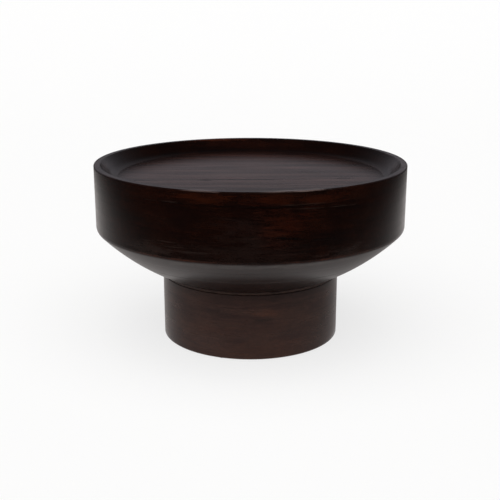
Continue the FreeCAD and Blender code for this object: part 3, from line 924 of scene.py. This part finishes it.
# felt's fibres are 0.02 mm thick, and are drawn at 0.4 mm so that they show
felt_fibres = grain(felt_tree, felt_place, 0.4, 1.6, 0.4, detail=4, distortion=2.0)
felt_cloud = grain(felt_tree, felt_place, 4, 4, 2, detail=2)
felt_mix = {0: felt_fibres, 1: 0.6, 2: felt_cloud}
felt_mix = add(felt_tree, "ShaderNodeMath", felt_mix, operation="MULTIPLY_ADD").outputs[0]
felt_pale = add(felt_tree, "ShaderNodeMapRange", {0: felt_mix, 1: 0.6, 2: 1.0}).outputs[0]
felt_colour = coated(felt_tree, "#3a322b", [(felt_pale, "#5d5247")])
felt_fuzz = {"Sheen Weight": 0.4, "Sheen Roughness": 0.5}
surface(felt_tree, felt_colour, 0.95, felt_fibres, 0.8, 0.3 * mm, felt_fuzz)
finished("glide_pads", felt)


# ---------------------------------------------------------------------------------------------------------
# Stage: camera, floor, dark card, lamp and surroundings
# The table stands on a sheet of seamless pale paper that rises far behind it, under one broad soft light
# from above. A dark card that only reflections see keeps the far paper out of the lacquer.
# ---------------------------------------------------------------------------------------------------------

camera_tilt = math.radians(15.671)
camera_data = bpy.data.cameras.new("camera")
camera_data.sensor_width = 36.0
camera_data.lens = 63.07
camera = bpy.data.objects.new("camera", camera_data)
camera.location = (-1.1 * mm, -2240.7 * mm, 848.2 * mm)
camera.rotation_euler = (math.radians(90) - camera_tilt, 0, 0)
bpy.context.scene.collection.objects.link(camera)
bpy.context.scene.camera = camera

STUDIO_SIDES = 96
flat_paper = 4.0
paper_curve = 0.025
paper_lit = 0.74  # share of plain white in what the camera sees, so that the table's shadow stays


def paper_height(radius):
    """Height of the paper at a radius: flat round the table, then rising ever faster."""
    return paper_curve * max(radius - flat_paper, 0) ** 2


def either(tree, rays, *kinds):
    """1 for rays of any of the given kinds, and 0 for the rest."""
    chosen = rays[kinds[0]]
    for kind in kinds[1:]:
        chosen = add(tree, "ShaderNodeMath", {0: chosen, 1: rays[kind]}, operation="ADD").outputs[0]
    return chosen


paper, paper_tree = new_material("pale_paper")
paper_shade = add(paper_tree, "ShaderNodeBsdfDiffuse", {"Color": linear("#fafaf8")}).outputs[0]
paper_white = add(paper_tree, "ShaderNodeEmission", {"Color": linear("#ffffff"), "Strength": 1.0}).outputs[0]
paper_rays = add(paper_tree, "ShaderNodeLightPath").outputs
paper_seen = either(paper_tree, paper_rays, "Is Camera Ray", "Is Glossy Ray", "Is Transmission Ray")
paper_share = {0: paper_seen, 1: paper_lit}
paper_share = add(paper_tree, "ShaderNodeMath", paper_share, operation="MULTIPLY").outputs[0]
paper_mix = add(paper_tree, "ShaderNodeMixShader", {0: paper_share, 1: paper_shade, 2: paper_white})
add(paper_tree, "ShaderNodeOutputMaterial", {"Surface": paper_mix.outputs[0]})
paper_outline = [(radius, paper_height(radius), 0) for radius in (0, 0.5, 1, 2, 4, *range(5, 13))]
piece_of("studio_floor", turned_shape(paper_outline, STUDIO_SIDES), paper)

# the card lies just over the paper, from near the pedestal outwards
card_start = 240 * mm
card_lift = 2 * mm
card_far_lift = 10 * mm
card_outline = [(radius, card_lift, 0) for radius in (card_start, 0.5, 1, 4)]
card_outline += [(radius, paper_height(radius) + card_far_lift, 0) for radius in range(5, 14)]
card_paint, card_tree = new_material("dark_card")
card_place = add(card_tree, "ShaderNodeTexCoord").outputs["Object"]
# the card is darker away from each middle, or near it: middle, inner and outer reach, and both shares of
# dark. The first fades the whole floor, the second the floor round the table and the others its two sides
card_fades = [
    ((-0.1, 0.98, 0), 0.9, 2.55, 0.0, 1.0),
    ((0.0, 0.0, 0), 0.26, 0.5, 0.0, 0.15),
    ((0.5, 0.12, 0), 0.15, 0.55, 0.4, 0.0),
    ((-0.48, 0.12, 0), 0.15, 0.5, 0.22, 0.0),
]
card_light = 1.0
for middle, near, far, near_share, far_share in card_fades:
    away = add(card_tree, "ShaderNodeVectorMath", {0: card_place, 1: middle}, operation="SUBTRACT").outputs[0]
    reach = add(card_tree, "ShaderNodeVectorMath", {0: away}, operation="LENGTH").outputs["Value"]
    fade = {0: reach, 1: near, 2: far, 3: 1 - near_share, 4: 1 - far_share}
    fade = add(card_tree, "ShaderNodeMapRange", fade, interpolation_type="SMOOTHSTEP").outputs[0]
    card_light = add(card_tree, "ShaderNodeMath", {0: card_light, 1: fade}, operation="MULTIPLY").outputs[0]
card_share = add(card_tree, "ShaderNodeMath", {0: 1.0, 1: card_light}, operation="SUBTRACT").outputs[0]
card_clear = add(card_tree, "ShaderNodeBsdfTransparent", {0: linear("#fff9f7")}).outputs[0]
card_dark = add(card_tree, "ShaderNodeEmission", {0: linear("#212121"), 1: 1.0}).outputs[0]
card_mix = add(card_tree, "ShaderNodeMixShader", {0: card_share, 1: card_clear, 2: card_dark}).outputs[0]
add(card_tree, "ShaderNodeOutputMaterial", {"Surface": card_mix})
card = piece_of("dark_card", turned_shape(card_outline, STUDIO_SIDES), card_paint)
card.visible_camera = False
card.visible_diffuse = False
card.visible_shadow = False
card.visible_transmission = False

lamp_data = bpy.data.lights.new("soft_top_light", "SUN")
lamp_data.energy = 0.9 * math.pi
lamp_data.angle = math.radians(90)
lamp = bpy.data.objects.new("soft_top_light", lamp_data)
lamp.rotation_euler = (math.radians(22), math.radians(-4), 0)
lamp.visible_glossy = False
bpy.context.scene.collection.objects.link(lamp)

# the surroundings are white to the eye, and light the table with a soft grey that is dimmer overhead
world = bpy.data.worlds.new("studio")
bpy.context.scene.world = world
world.use_nodes = True
sky = world.node_tree
sky.nodes.clear()
direction = add(sky, "ShaderNodeTexCoord").outputs["Generated"]
sky_rise = add(sky, "ShaderNodeSeparateXYZ", {0: direction}).outputs["Z"]
sky_level = add(sky, "ShaderNodeMapRange", {0: sky_rise, 1: 0.1, 2: 0.7, 3: 0.41, 4: 0.05}).outputs[0]
sky_light = add(sky, "ShaderNodeBackground", {0: linear("#f9f5ff"), 1: sky_level}).outputs[0]
sky_white = add(sky, "ShaderNodeBackground", {0: linear("#ffffff"), 1: 1.0}).outputs[0]
sky_rays = add(sky, "ShaderNodeLightPath").outputs
sky_seen = either(sky, sky_rays, "Is Camera Ray", "Is Transmission Ray")
sky_mix = add(sky, "ShaderNodeMixShader", {0: sky_seen, 1: sky_light, 2: sky_white}).outputs[0]
add(sky, "ShaderNodeOutputWorld", {0: sky_mix})

bpy.context.scene.view_settings.view_transform = "Standard"
